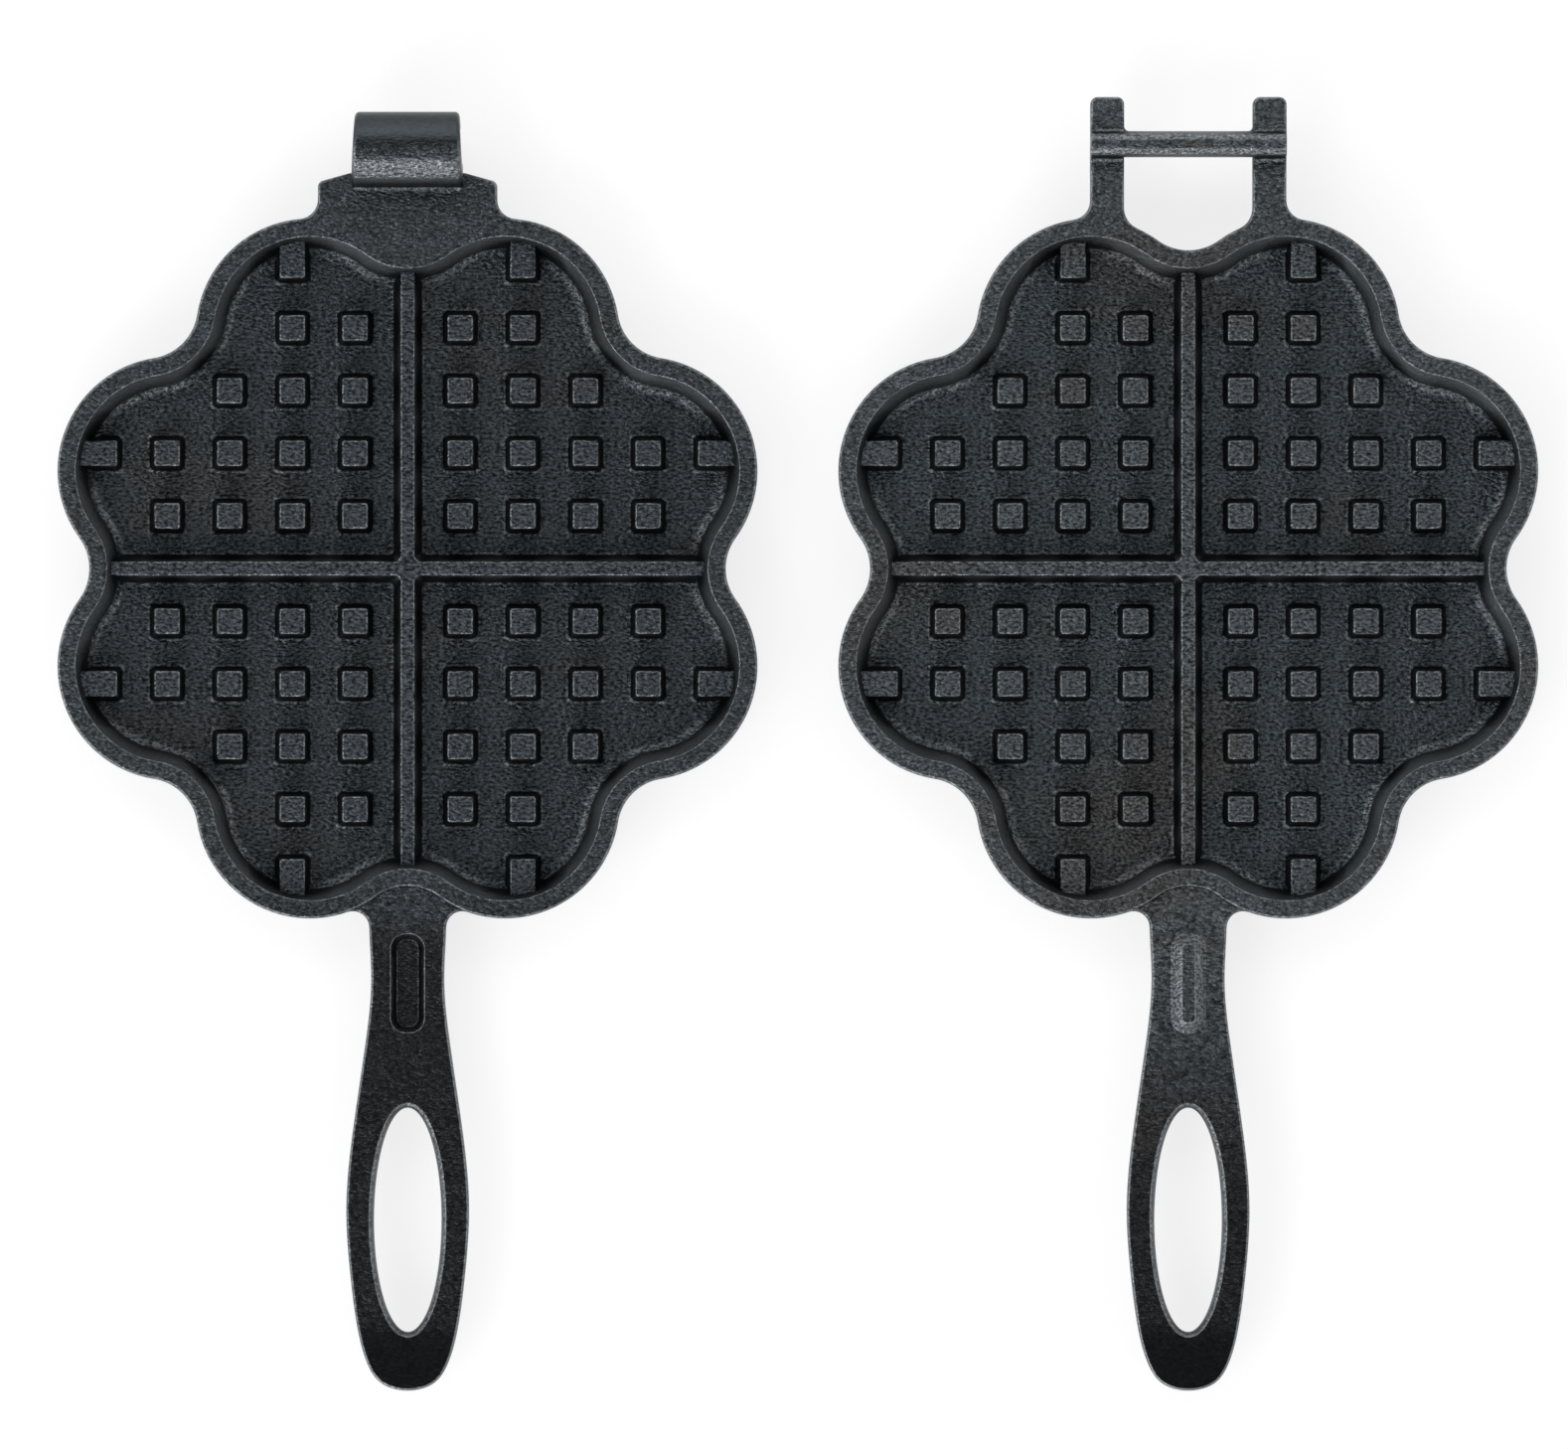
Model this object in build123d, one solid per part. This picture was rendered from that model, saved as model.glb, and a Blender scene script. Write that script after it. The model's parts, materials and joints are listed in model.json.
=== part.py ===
"""Stovetop waffle iron in cast iron: two loose halves, laid side by side with their baking faces up.

Each half is one casting: a round plate with eight lobes, four heart-shaped pockets with studs, and a
handle with a long finger hole. The hook half ends in a hook, and the bar half in two prongs with a round
bar between them. Hooked on the bar and turned over, the hook half closes on the bar half.

Each half is modelled about its own plate's centre, with +Y towards the hinge end and z = 0 on its rim.
"""

from build123d import *
from math import atan2, cos, degrees, hypot, radians, sin, sqrt
import os

# Driving dimensions of the plate's outline, in mm: eight lobes with a round notch between each two.
LOBES = 8
LOBE_RADIUS = 34.8
LOBE_REACH = 112.6  # plate's centre to a lobe's tip
NOTCH_REACH = 97.0  # plate's centre to the bottom of a notch

# Heights, measured from the rim.
PLATE_THICKNESS = 13.0
WALL_HEIGHT = 9.0  # upright part of the plate's outer wall, above its rounded underside
FLOOR_DEPTH = 7.0
STUD_TOP_DEPTH = 2.2
DIVIDER_TOP_DEPTH = 2.0
FOOT_RING_HEIGHT = 2.0
RIM_HEIGHT = PLATE_THICKNESS + FOOT_RING_HEIGHT

# Rim and pockets.
RIM_WIDTH = 5.4
WALL_RUN = 4.7  # how far a pocket's wall leans in between the rim and the floor
RIM_EDGE_RADIUS = 1.0
POCKET_EDGE_RADIUS = 0.7
POCKET_FOOT_RADIUS = 1.6
DIVIDER_TOP_WIDTH = 3.9
DIVIDER_RUN = 2.6
DIVIDER_CORNER_RADIUS = 2.0

# Studs: square, on one grid that leaves the dividers free.
STUD_PITCH = 19.1
FIRST_STUD = 16.05  # plate's centre line to the first row and column
STUD_TOP = 7.3
STUD_RUN = 1.6
STUD_CORNER_RADIUS = 1.2
STUD_ROWS = ((0, 1, 2, 3), (0, 1, 2, 3, 4), (0, 1, 2), (0, 1), (1,))  # columns in each row of a heart
OUTER_STUD = 4  # row or column whose studs run into the pocket's wall
WALL_STUD_REACH = 8.0
EMBED = 0.6  # how deep a shape goes into the one it joins
ARM_START = 85.0  # plate's centre to where the arms and the handle begin, inside the plate
CLEAR = 1.0  # how far a cutting shape goes past what it cuts, and how near a corner is looked for
NEAR = 0.05  # within this, an edge lies at a height or on an outline

# Foot ring under the plate.
RING_OUTER_RADIUS = 75.0
RING_INNER_RADIUS = 67.0
RING_EDGE_RADIUS = 0.8

# Handle.
HANDLE_END = 250.6
HANDLE_TOP_DEPTH = 1.0
HANDLE_SIDE = ((11.9, 92.0), (11.7, 108.0), (11.1, 125.0), (12.9, 145.0), (16.5, 170.0),
               (18.7, 195.0), (17.4, 216.0), (15.2, 232.0), (12.6, 241.6), (8.6, 247.9))
HANDLE_ROOT_RADIUS = 5.0
HANDLE_EDGE_RADIUS = 2.0
HANDLE_WALL_EMBED = 3.0  # how far the handle goes into the plate's wall
HOLE_CENTRE = 198.6
HOLE_HALF_WIDTH = 10.3
HOLE_HALF_LENGTH = 34.2
HOLE_EDGE_RADIUS = 1.6

# Key that lines the handles up: a rib on the bar half, and a slot for it in the hook half.
KEY_CENTRE = 126.4
KEY_LENGTH = 30.2
KEY_WIDTH = 10.4
KEY_CORNER_RADIUS = 4.5
SLOT_DEPTH = 2.6
SLOT_RUN = 1.95
RIB_HEIGHT = 3.2
RIB_RUN = 3.0

# Hinge: the bar's axis lies just past the rims' plane, on the hook half's side of it.
BAR_RADIUS = 4.0
BAR_REACH = 129.2  # plate's centre to the bar's axis
BAR_RISE = 1.5  # above the bar half's rim
CLOSED_GAP = 0.3  # between the two rims when closed
HOOK_PLAY = 0.7
HOOK_BACK_REACH = 127.8  # the centre of the hook's back, a little before the bar's axis and above it
HOOK_BACK_RISE = 1.2
HOOK_BACK_RADIUS = 11.3
HOOK_LIP_ANGLE = 30.0  # how far the lip goes on below the bar's axis
HOOK_ROOT_RUN = 9.0  # how far back into the shoulder the hook's root goes
HOOK_HALF_WIDTH_ROOT = 17.3
HOOK_HALF_WIDTH_TIP = 15.9
HOOK_EDGE_RADIUS = 1.5
HOOK_FOOT_RADIUS = 2.0
DRAFT_LIMIT = 20.0  # a face that turns from X by less than this, in degrees, is one of the hook's sides

# Shoulder that carries the hook.
SHOULDER_HALF_WIDTH = 27.3
SHOULDER_CORNER = 117.8
SHOULDER_END = 120.5
SHOULDER_END_HALF_WIDTH = 17.5
SHOULDER_ROOT_RADIUS = 6.0
SHOULDER_CORNER_RADIUS = 2.0

# Prongs that carry the bar.
PRONG_INNER = 19.6
PRONG_OUTER = 29.9
PRONG_DEPTH = 8.0
PRONG_TIP_REACH = 143.6
PRONG_TIP_RISE = 2.2
PRONG_TIP_DEPTH = 5.8
PRONG_TIP_CORNER_RADIUS = 2.2
PRONG_ROOT_OUTER_RADIUS = 6.0
PRONG_ROOT_INNER_RADIUS = 7.0
PRONG_EDGE_RADIUS = 1.0
COLLAR_RADIUS = 2.0  # flare of the bar where it meets a prong

# Where the two halves lie: the whole pair's box is centred on the origin and stands on z = 0.
HALF_SPACING = 238.0
PAIR_CENTRE_Y = (PRONG_TIP_REACH - HANDLE_END) / 2

# Worked out from the above.
STEP_ANGLE = 360 / LOBES
LOBE_CENTRE = LOBE_REACH - LOBE_RADIUS
LOBE_SIDE = LOBE_CENTRE * cos(radians(STEP_ANGLE / 2))
NOTCH_RADIUS = (LOBE_RADIUS**2 - NOTCH_REACH**2 - LOBE_CENTRE**2 + 2 * LOBE_SIDE * NOTCH_REACH) / (
    2 * (NOTCH_REACH - LOBE_SIDE - LOBE_RADIUS)
)
NOTCH_CENTRE = NOTCH_REACH + NOTCH_RADIUS
HOOK_INNER_RADIUS = BAR_RADIUS + HOOK_PLAY
HOOK_AXIS_Z = CLOSED_GAP - BAR_RISE


def polar(radius, angle):
    """A point in the plane, from its distance and its angle in degrees."""
    return Vector(radius * cos(radians(angle)), radius * sin(radians(angle)))


def lobed_face(inset=0.0):
    """The plate's outline, moved in by inset: round lobes and notches, each tangent to the next."""
    share = (LOBE_RADIUS - inset) / (LOBE_RADIUS + NOTCH_RADIUS)

    def join(lobe_angle, notch_angle):
        """Where a lobe's arc and a notch's touch, on the line between their centres."""
        lobe = polar(LOBE_CENTRE, lobe_angle)
        return lobe + (polar(NOTCH_CENTRE, notch_angle) - lobe) * share

    arcs = Curve()
    for k in range(LOBES):
        notch, lobe, next_notch, next_lobe = ((k + half) * STEP_ANGLE for half in (0, 0.5, 1, 1.5))
        arcs += ThreePointArc(join(lobe, notch), polar(LOBE_REACH - inset, lobe), join(lobe, next_notch))
        lowest = polar(NOTCH_REACH - inset, next_notch)
        arcs += ThreePointArc(join(lobe, next_notch), lowest, join(next_lobe, next_notch))
    return make_face(arcs)


def draft_angle(run, height):
    """The taper, in degrees, of a side that leans by run over height."""
    return degrees(atan2(run, height))


def edges_at(shape, z):
    """Edges that lie wholly at height z."""
    return [
        e for e in shape.edges()
        if abs(e.bounding_box().min.Z - z) < NEAR and abs(e.bounding_box().max.Z - z) < NEAR
    ]


def flat(edge):
    """Whether an edge lies at one height."""
    return edge.bounding_box().size.Z < NEAR


def near(shape, points):
    """Vertices of a flat shape that lie near any of the points."""
    return [v for v in shape.vertices() if any(hypot(v.X - x, v.Y - y) < CLEAR for x, y in points)]


def corner_with_plate(x, sign):
    """Where an upright line at x crosses the plate's outline, at the hinge end (sign 1) or the handle's."""
    lobe = polar(LOBE_CENTRE, 90 - STEP_ANGLE / 2)
    return x, sign * (lobe.Y + sqrt(LOBE_RADIUS**2 - (abs(x) - lobe.X) ** 2))


def joined_face(arm, x_and_radius, sign):
    """The plate's outline with an arm joined to it, and a round corner at each crossing given by x."""
    face = lobed_face() + arm
    for x, radius in x_and_radius:
        face = fillet(near(face, [corner_with_plate(s * x, sign) for s in (-1, 1)]), radius)
    return face


def layer(face, top, bottom):
    """A flat face made solid between two heights."""
    return extrude(Pos(0, 0, bottom) * face, top - bottom)


def shoulder_face():
    """The hook half's shoulder, from inside the plate to the hook's foot."""
    right = Polyline(
        (0, ARM_START), (SHOULDER_HALF_WIDTH, ARM_START), (SHOULDER_HALF_WIDTH, SHOULDER_CORNER),
        (SHOULDER_END_HALF_WIDTH, SHOULDER_END), (0, SHOULDER_END),
    )
    face = make_face(right + mirror(right, Plane.YZ))
    corners = [(s * SHOULDER_HALF_WIDTH, SHOULDER_CORNER) for s in (-1, 1)]
    return fillet(near(face, corners), SHOULDER_CORNER_RADIUS)


def prong_faces():
    """The bar half's two prongs, from inside the plate to just past the bar's axis."""
    width, length = PRONG_OUTER - PRONG_INNER, BAR_REACH - ARM_START
    middle_x, middle_y = (PRONG_OUTER + PRONG_INNER) / 2, (BAR_REACH + ARM_START) / 2
    return Sketch() + [Pos(s * middle_x, middle_y) * Rectangle(width, length) for s in (-1, 1)]


def handle_outline():
    """The handle's outline, from inside the plate to its round end."""
    side = Spline(*[(x, -y) for x, y in HANDLE_SIDE], (0, -HANDLE_END), tangents=[(0, -1), (-1, 0)])
    top = Line((0, -HANDLE_SIDE[0][1]), (HANDLE_SIDE[0][0], -HANDLE_SIDE[0][1]))
    right = Curve() + [top, side]
    return make_face(right + mirror(right, Plane.YZ))


def handle():
    """The handle with its finger hole, and round corners where it leaves the plate."""
    neck = HANDLE_SIDE[1][0]
    face = joined_face(handle_outline(), [(neck, HANDLE_ROOT_RADIUS)], -1) - lobed_face(HANDLE_WALL_EMBED)
    face &= Pos(0, -ARM_START - HANDLE_END / 2) * Rectangle(2 * (neck + 2 * HANDLE_ROOT_RADIUS), HANDLE_END)
    solid = layer(face, -HANDLE_TOP_DEPTH, -WALL_HEIGHT)
    free_end = -NOTCH_REACH - HANDLE_ROOT_RADIUS
    rims = [e for e in solid.edges() if flat(e) and e.bounding_box().max.Y < free_end]
    solid = fillet(rims, HANDLE_EDGE_RADIUS)
    hole = Pos(0, -HOLE_CENTRE) * Ellipse(HOLE_HALF_WIDTH, HOLE_HALF_LENGTH)
    solid -= layer(hole, CLEAR, -WALL_HEIGHT - CLEAR)
    return fillet([e for e in solid.edges() if e.is_closed], HOLE_EDGE_RADIUS)


def key_face():
    """The outline of the key on the handles."""
    return Pos(0, -KEY_CENTRE) * RectangleRounded(KEY_WIDTH, KEY_LENGTH, KEY_CORNER_RADIUS)


def pockets():
    """What is cast hollow in a plate before the dividers and studs stand in it."""
    face = Pos(0, 0, -FLOOR_DEPTH) * lobed_face(RIM_WIDTH + WALL_RUN)
    return extrude(face, FLOOR_DEPTH, taper=-draft_angle(WALL_RUN, FLOOR_DEPTH))


def dividers():
    """The upright cross that parts the four hearts, with round corners in its middle."""
    height = FLOOR_DEPTH - DIVIDER_TOP_DEPTH
    half_top, half_foot = DIVIDER_TOP_WIDTH / 2, DIVIDER_TOP_WIDTH / 2 + DIVIDER_RUN
    deeper = EMBED * DIVIDER_RUN / height
    section = Plane.XZ * Polygon(
        (-half_foot - deeper, -FLOOR_DEPTH - EMBED), (half_foot + deeper, -FLOOR_DEPTH - EMBED),
        (half_top, -DIVIDER_TOP_DEPTH), (-half_top, -DIVIDER_TOP_DEPTH), align=None,
    )
    wall = extrude(section, NOTCH_REACH - RIM_WIDTH / 2, both=True)
    cross = wall + Rot(0, 0, 90) * wall
    inner = [
        e for e in cross.edges()
        if e.bounding_box().size.Z > height and hypot((e @ 0.5).X, (e @ 0.5).Y) < 2 * half_foot
    ]
    return fillet(inner, DIVIDER_CORNER_RADIUS)


def stud(x, y, reach_x=0.0, reach_y=0.0):
    """A stud in the first quarter of the plate; reach makes it longer, outwards into the pocket's wall."""
    height = FLOOR_DEPTH - STUD_TOP_DEPTH
    foot = STUD_TOP + 2 * STUD_RUN * (height + EMBED) / height
    face = RectangleRounded(foot + reach_x, foot + reach_y, STUD_CORNER_RADIUS)
    place = Pos(x + reach_x / 2, y + reach_y / 2, -FLOOR_DEPTH - EMBED)
    return extrude(place * face, height + EMBED, taper=draft_angle(STUD_RUN, height))


def studs():
    """All studs of a plate: one heart's, turned four times."""
    quarter = []
    for row, columns in enumerate(STUD_ROWS):
        for column in columns:
            x, y = (FIRST_STUD + n * STUD_PITCH for n in (column, row))
            reach_x, reach_y = (WALL_STUD_REACH if n == OUTER_STUD else 0.0 for n in (column, row))
            quarter.append(stud(x, y, reach_x, reach_y))
    return [Rot(0, 0, 90 * k) * s for k in range(4) for s in quarter]


def plate(hinge_end):
    """A plate with its pockets, joined to a flat hinge end that is level with the rim."""
    blank = layer(lobed_face(), 0, -PLATE_THICKNESS)
    blank = fillet(edges_at(blank, -PLATE_THICKNESS), PLATE_THICKNESS - WALL_HEIGHT)
    blank += hinge_end
    blank = fillet(edges_at(blank, 0), RIM_EDGE_RADIUS)
    hollow = blank - pockets()
    hollow = fillet(edges_at(hollow, -FLOOR_DEPTH), POCKET_FOOT_RADIUS)
    hollow = fillet([e for e in edges_at(hollow, 0) if on_pocket_edge(e)], POCKET_EDGE_RADIUS)
    ring_face = Circle(RING_OUTER_RADIUS) - Circle(RING_INNER_RADIUS)
    ring = layer(ring_face, -PLATE_THICKNESS + EMBED, -RIM_HEIGHT)
    ring = fillet(edges_at(ring, -RIM_HEIGHT), RING_EDGE_RADIUS)
    return hollow + dividers() + studs() + ring


def on_pocket_edge(edge):
    """Whether an edge at the rim's height belongs to the pockets' outline."""
    middle = edge @ 0.5
    pocket_edge = lobed_face(RIM_WIDTH).face().outer_wire()
    return pocket_edge.distance_to(Vertex(middle.X, middle.Y, 0)) < NEAR


def hook_lip(axis, back):
    """The lip's round end, tangent to the hook's inside and back, as three points from its inside out."""
    toward_lip, offset = polar(1, -HOOK_LIP_ANGLE), axis - back
    along = offset.dot(toward_lip)
    beside = offset.dot(offset) - along**2
    free = HOOK_BACK_RADIUS**2 - (along + HOOK_INNER_RADIUS) ** 2 - beside
    radius = free / 2 / (HOOK_BACK_RADIUS + along + HOOK_INNER_RADIUS)
    centre = axis + toward_lip * (HOOK_INNER_RADIUS + radius)
    end = centre + polar(radius, -HOOK_LIP_ANGLE - 90)
    return axis + toward_lip * HOOK_INNER_RADIUS, end, back + (centre - back).normalized() * HOOK_BACK_RADIUS


def hook_foot(back):
    """The hollow foot between the hook's back and the shoulder, as three points from its top down."""
    up = HOOK_FOOT_RADIUS - HOOK_BACK_RISE
    centre = back + Vector(-sqrt((HOOK_BACK_RADIUS + HOOK_FOOT_RADIUS) ** 2 - up**2), up)
    outward = (centre - back).normalized()
    middle = centre + (Vector(0, -1) - outward).normalized() * HOOK_FOOT_RADIUS
    return back + outward * HOOK_BACK_RADIUS, middle, Vector(centre.X, 0)


def hook():
    """The hook, from the shoulder over the bar to its lip, thickest at its back and drafted in plan."""
    axis, back = Vector(BAR_REACH, HOOK_AXIS_Z), Vector(HOOK_BACK_REACH, HOOK_BACK_RISE)
    inner_lip, lip_end, outer_lip = hook_lip(axis, back)
    foot_top, foot_middle, foot = hook_foot(back)
    leg = axis - Vector(HOOK_INNER_RADIUS, 0)
    root_y = SHOULDER_END - HOOK_ROOT_RUN
    side = Curve() + [
        Polyline((root_y, -WALL_HEIGHT), (leg.X, -WALL_HEIGHT), leg),
        ThreePointArc(leg, axis + polar(HOOK_INNER_RADIUS, 90), inner_lip),
        ThreePointArc(inner_lip, lip_end, outer_lip),
        ThreePointArc(outer_lip, back + polar(HOOK_BACK_RADIUS, 90), foot_top),
        ThreePointArc(foot_top, foot_middle, foot),
        Polyline(foot, (root_y, 0), (root_y, -WALL_HEIGHT)),
    ]
    solid = extrude(Plane.YZ * make_face(side), HOOK_HALF_WIDTH_ROOT, both=True)
    root_end, tip_end = root_y - CLEAR, HOOK_BACK_REACH + HOOK_BACK_RADIUS + CLEAR
    plan = Polyline(
        (-HOOK_HALF_WIDTH_ROOT, root_end), (HOOK_HALF_WIDTH_ROOT, root_end),
        (HOOK_HALF_WIDTH_TIP, tip_end), (-HOOK_HALF_WIDTH_TIP, tip_end), close=True,
    )
    solid &= layer(make_face(plan), 2 * HOOK_BACK_RADIUS, -2 * HOOK_BACK_RADIUS)
    sides = [f for f in solid.faces() if abs(f.normal_at().X) > cos(radians(DRAFT_LIMIT))]
    rounded = [e for f in sides for e in f.edges() if e.bounding_box().max.Z > HOOK_BACK_RADIUS / 2]
    return fillet(rounded, HOOK_EDGE_RADIUS)


def hook_half():
    """The half with the hook, and the slot that takes the other handle's rib."""
    arm = shoulder_face()
    face = joined_face(arm, [(SHOULDER_HALF_WIDTH, SHOULDER_ROOT_RADIUS)], 1)
    body = plate(layer(face, 0, -WALL_HEIGHT)) + handle() + hook()
    key = Pos(0, 0, -HANDLE_TOP_DEPTH) * key_face()
    return body - extrude(key, -SLOT_DEPTH, taper=draft_angle(SLOT_RUN, SLOT_DEPTH))


def bar_half():
    """The half with the bar between its prongs, and the rib that lines the handles up."""
    roots = [(PRONG_OUTER, PRONG_ROOT_OUTER_RADIUS), (PRONG_INNER, PRONG_ROOT_INNER_RADIUS)]
    face = joined_face(prong_faces(), roots, 1)
    bar = Pos(0, BAR_REACH, BAR_RISE) * Rot(0, 90, 0) * Cylinder(BAR_RADIUS, 2 * PRONG_OUTER)
    body = plate(layer(face, 0, -PRONG_DEPTH)) + handle() + bar
    for side in (-1, 1):
        body += [prong_tip(side), bar_collar(side)]
    key = Pos(0, 0, -HANDLE_TOP_DEPTH) * key_face()
    rib = extrude(key, RIB_HEIGHT, taper=draft_angle(RIB_RUN, RIB_HEIGHT))
    return body + rib + extrude(key, -EMBED)


def prong_tip(side):
    """A prong's raised tip, past the bar."""
    start = BAR_REACH - BAR_RADIUS / 2
    width, length = PRONG_OUTER - PRONG_INNER, PRONG_TIP_REACH - start
    face = Pos(side * (PRONG_INNER + width / 2), start + length / 2) * Rectangle(width, length)
    face = fillet([v for v in face.vertices() if v.Y > BAR_REACH], PRONG_TIP_CORNER_RADIUS)
    tip = layer(face, PRONG_TIP_RISE, -PRONG_TIP_DEPTH)
    free = [e for e in tip.edges() if flat(e) and e.bounding_box().max.Y > BAR_REACH]
    return fillet(free, PRONG_EDGE_RADIUS)


def bar_collar(side):
    """The bar's hollow flare at a prong, kept below the prong's top on either side of the bar."""
    inner, outer = PRONG_INNER - COLLAR_RADIUS, PRONG_INNER + EMBED
    base, top = BAR_RISE + BAR_RADIUS, BAR_RISE + BAR_RADIUS + COLLAR_RADIUS
    flare = Vector(inner, top) + polar(COLLAR_RADIUS, -45)
    outline = Curve() + [
        ThreePointArc((inner, base), flare, (PRONG_INNER, top)),
        Polyline((PRONG_INNER, top), (outer, top), (outer, BAR_RISE), (inner, BAR_RISE), (inner, base)),
    ]
    bar_axis = Axis((0, BAR_REACH, BAR_RISE), (1, 0, 0))
    collar = revolve(Plane.XZ.offset(-BAR_REACH) * make_face(outline), bar_axis)
    before, after = (Pos(0, BAR_REACH + way * top) * Rectangle(2 * outer, 2 * top) for way in (-1, 1))
    room = layer(before, -RIM_EDGE_RADIUS, -PRONG_DEPTH)
    room += layer(after, PRONG_TIP_RISE - PRONG_EDGE_RADIUS, -PRONG_DEPTH)
    collar &= room
    return collar if side > 0 else mirror(collar, Plane.YZ)


def place(solid, side):
    """A half where it lies in the pair, on its foot ring."""
    return Pos(side * HALF_SPACING / 2, -PAIR_CENTRE_Y, RIM_HEIGHT) * solid


def main():
    """Writes one STEP for each casting."""
    os.makedirs("parts", exist_ok=True)
    for name, solid, side in (("hook_half", hook_half(), -1), ("bar_half", bar_half(), 1)):
        export_step(place(solid, side), f"parts/{name}.step")


main()
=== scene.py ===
"""Dresses the stovetop waffle iron: two seasoned cast-iron halves, laid side by side with their faces up.

Each casting is put together from closed surfaces worked out with numpy: a profile, given as distance in
from an outline and height, is carried round that outline. The surfaces are joined, and the pockets and holes
cut out of them, into one mesh for each half, with a round edge or a hollow foot wherever two faces meet.

Lengths are in millimetres in a half's own frame: the plate's centre is the origin, +Y points to the hinge
end and z = 0 is the rim. A finished mesh is in metres, in its place in the frame.
"""

import json
import logging
import math
from collections.abc import Callable
from dataclasses import dataclass, field
from enum import Enum

import bmesh
import bpy
import numpy as np
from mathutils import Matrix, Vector


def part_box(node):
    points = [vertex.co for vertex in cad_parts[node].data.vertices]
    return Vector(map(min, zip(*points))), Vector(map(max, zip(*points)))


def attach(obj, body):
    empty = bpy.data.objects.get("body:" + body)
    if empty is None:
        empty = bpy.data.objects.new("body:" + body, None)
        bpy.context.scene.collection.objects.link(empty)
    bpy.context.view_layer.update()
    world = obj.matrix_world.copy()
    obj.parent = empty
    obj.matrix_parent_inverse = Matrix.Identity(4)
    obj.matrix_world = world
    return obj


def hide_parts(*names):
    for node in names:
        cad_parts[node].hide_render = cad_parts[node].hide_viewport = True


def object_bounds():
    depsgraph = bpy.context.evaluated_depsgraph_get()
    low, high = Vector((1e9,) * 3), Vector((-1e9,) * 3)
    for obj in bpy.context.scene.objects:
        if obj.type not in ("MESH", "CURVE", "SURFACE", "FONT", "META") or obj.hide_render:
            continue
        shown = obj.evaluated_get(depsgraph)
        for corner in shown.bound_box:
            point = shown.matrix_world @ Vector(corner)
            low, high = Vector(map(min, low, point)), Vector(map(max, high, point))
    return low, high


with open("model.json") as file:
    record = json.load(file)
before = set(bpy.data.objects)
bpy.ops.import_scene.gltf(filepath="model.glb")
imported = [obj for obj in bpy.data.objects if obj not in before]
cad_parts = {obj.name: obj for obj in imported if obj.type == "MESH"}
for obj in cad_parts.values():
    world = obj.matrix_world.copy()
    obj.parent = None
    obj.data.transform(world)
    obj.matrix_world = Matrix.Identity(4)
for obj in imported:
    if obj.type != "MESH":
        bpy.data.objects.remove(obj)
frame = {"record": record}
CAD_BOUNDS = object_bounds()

MM = 0.001
IMAGE_WIDTH, IMAGE_HEIGHT = 1578, 1458
EMBED = 0.6  # how deep a shape goes into the one it joins
SLOPE = 0.12  # rise over run of a surface where it meets a flat one, so that the two cross cleanly
SKIRT = 2.0  # how far a foot or a cutter runs out over the face beside it
RUN_ON = 4.0  # how far a profile goes on along a flat face past its last corner
PAST_EDGE = 1.1  # where a flat face begins, in radii of its rounded edge
TOP_RUN = 0.2  # how far a profile goes on along a narrow top past its rounded edge
MITRE_LIMIT = 0.4  # least value of 1 + the product of two runs' normals, so that no corner shoots out
ARC_STEPS = 6
SAME_PLACE = 1e-6
WELD = 1e-3
SHARP_ANGLE = math.radians(42)
WIDE_FACES_LEAD = 80  # how strongly wide faces bend the shading of narrow ones beside them, out of 100
QUARTER_TURNS = np.array([[(1, 0), (0, 1)], [(0, 1), (-1, 0)], [(-1, 0), (0, -1)], [(0, -1), (1, 0)]])

log = logging.getLogger("waffle_iron")


class Side(Enum):
    """Which way along X something lies from a centre line."""

    LEFT = -1
    RIGHT = 1


class Operation(Enum):
    """What a surface does to the casting that it is applied to."""

    JOIN = "UNION"
    CUT = "DIFFERENCE"


def turned(angle: float) -> np.ndarray:
    """Returns the unit vector at an angle in degrees, counter-clockwise from the first axis."""
    return np.array([math.cos(math.radians(angle)), math.sin(math.radians(angle))])


def direction(vector: np.ndarray) -> float:
    """Returns a plane vector's angle in degrees, counter-clockwise from the first axis."""
    return math.degrees(math.atan2(vector[1], vector[0]))


def half_turn(angle: float) -> float:
    """Returns the same angle between -180 and 180 degrees."""
    return (angle + 180) % 360 - 180


def at_height(plan: np.ndarray, height: np.ndarray) -> np.ndarray:
    """Puts loops at their heights.

    Args:
        plan: Points of shape (..., loops, points in a loop, 2).
        height: A height for each loop.

    Returns:
        The same points with a third coordinate.
    """
    return np.concatenate([plan, np.broadcast_to(height[:, None, None], plan.shape[:-1] + (1,))], axis=-1)


def arc(centre: np.ndarray, radius: float, start: float, end: float, steps: int) -> np.ndarray:
    """Returns points on a circle's arc: centre + radius * (cos t, sin t), for t evenly from start to end.

    Args:
        centre: The circle's centre.
        radius: Its radius.
        start: The first point's angle, in degrees.
        end: The last point's angle, in degrees; below start, the arc runs clockwise.
        steps: How many chords the arc has.

    Returns:
        An array of steps + 1 points.
    """
    angles = np.radians(np.linspace(start, end, steps + 1))
    return np.asarray(centre) + radius * np.stack([np.cos(angles), np.sin(angles)], axis=-1)


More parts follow.
